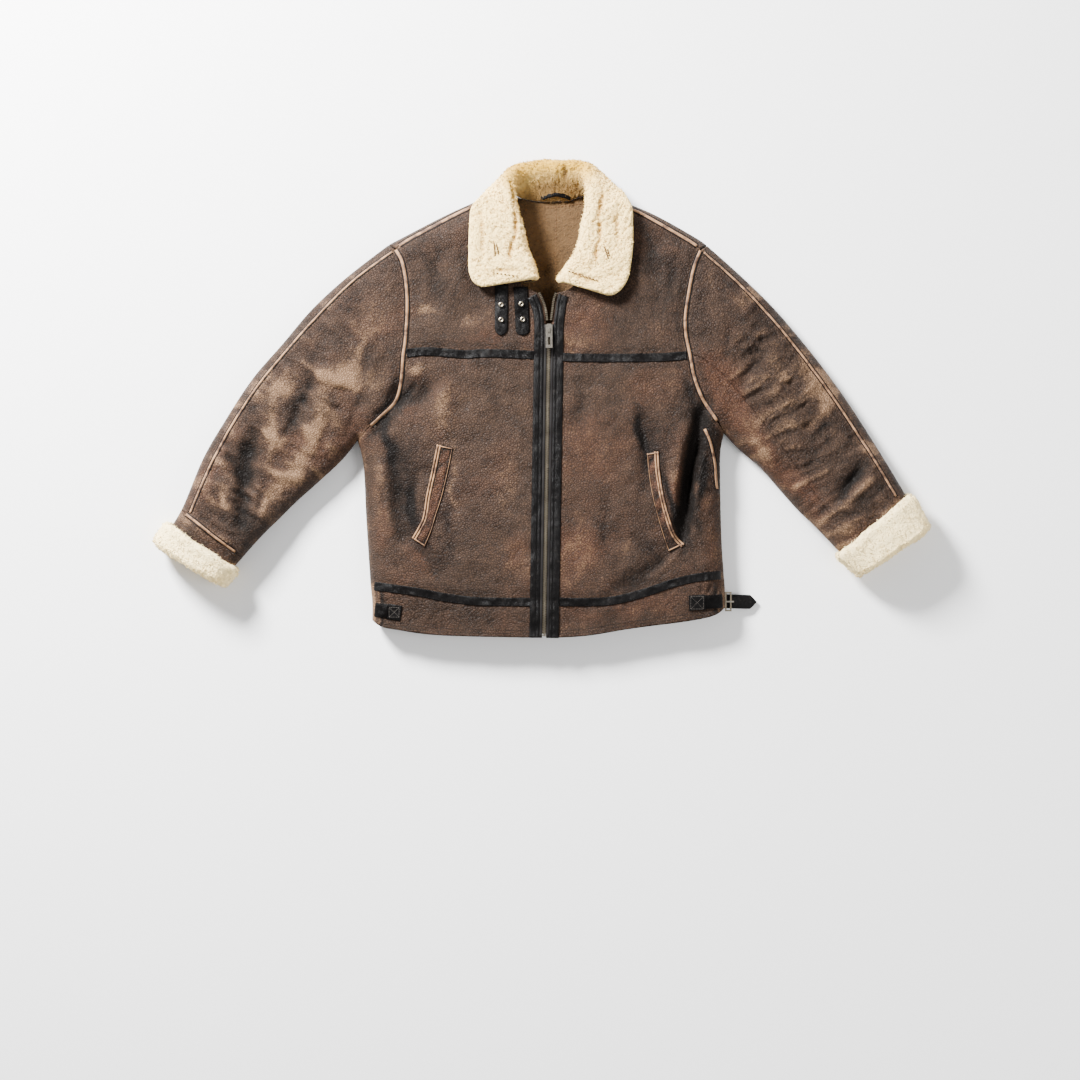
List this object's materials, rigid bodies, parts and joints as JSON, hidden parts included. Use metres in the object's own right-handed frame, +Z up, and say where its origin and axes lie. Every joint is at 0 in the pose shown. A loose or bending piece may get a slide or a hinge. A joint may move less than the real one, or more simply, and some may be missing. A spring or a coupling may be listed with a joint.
{
  "type": "shearling flight jacket",
  "caption": "Shearling flight jacket laid flat, front up: hide walls with wool inside, turned-down wool collar, turned-back wool cuffs, closed zip, taped seams, welt pockets, side strap",
  "frame": {"origin": "on the surface the jacket lies on, below the middle of its chest", "axes": "+X to the wearer's left, across both sleeves; +Y from the hem to the collar; +Z up out of the front, away from the surface"},
  "size_m": [1.3189, 0.8135, 0.0729],
  "materials": {
    "leather": "distressed shearling hide, matt with a waxy sheen, rubbed paler at folds and seams",
    "worn_leather": "rubbed seam strips, dry and pale",
    "black_leather": "smooth black hide, satin",
    "cream_pile": "clipped wool pile",
    "steel": "dull nickel",
    "zip_teeth": "antiqued metal teeth",
    "zip_tape": "woven tape"
  },
  "bodies": {
    "jacket": {"right_front_yoke": "leather", "right_front_body": "leather", "right_front_hem": "leather", "right_shoulder": "leather", "right_sleeve_top": "leather", "right_sleeve_back": "leather", "left_front_yoke": "leather", "left_front_body": "leather", "left_front_hem": "leather", "left_shoulder": "leather", "left_sleeve_top": "leather", "left_sleeve_gusset": "leather", "left_sleeve_back": "leather", "back": "leather", "right_cuff_band": "leather", "right_cuff_pile": "cream_pile", "left_cuff_pile": "cream_pile", "right_shoulder_strip": "worn_leather", "left_shoulder_strip": "worn_leather", "right_armhole_strip": "worn_leather", "left_armhole_strip": "worn_leather", "right_sleeve_strip": "worn_leather", "left_sleeve_strip": "worn_leather", "right_cuff_strip": "worn_leather", "left_side_strip": "worn_leather", "right_chest_tape": "black_leather", "left_chest_tape": "black_leather", "right_waist_tape": "black_leather", "left_waist_tape": "black_leather", "right_pocket_welt": "leather", "left_pocket_welt": "leather", "right_side_patch": "black_leather", "left_side_patch": "black_leather", "right_zip_tape": "zip_tape", "right_placket": "black_leather", "right_teeth_row": "zip_teeth", "left_zip_tape": "zip_tape", "left_placket": "black_leather", "left_teeth_row": "zip_teeth", "zip_chain": "zip_teeth", "collar_strap_a": "black_leather", "collar_strap_b": "black_leather", "eyelet_a1": "steel", "eyelet_a2": "steel", "eyelet_b1": "steel", "eyelet_b2": "steel", "collar": "cream_pile", "hanger_loop": "black_leather", "zip_slider": "steel", "side_buckle": "steel", "side_strap_end": "black_leather", "buckle_prong": "steel"},
    "zip_pull": {"zip_pull": "steel"}
  },
  "joints": [
    {"name": "zip_pull_hinge", "type": "hinge", "parent": "jacket", "child": "zip_pull", "pos_m": [0.0051, 0.1168, 0.05662], "axis": [-1, 0, 0], "range_deg": [0, 165]}
  ]
}
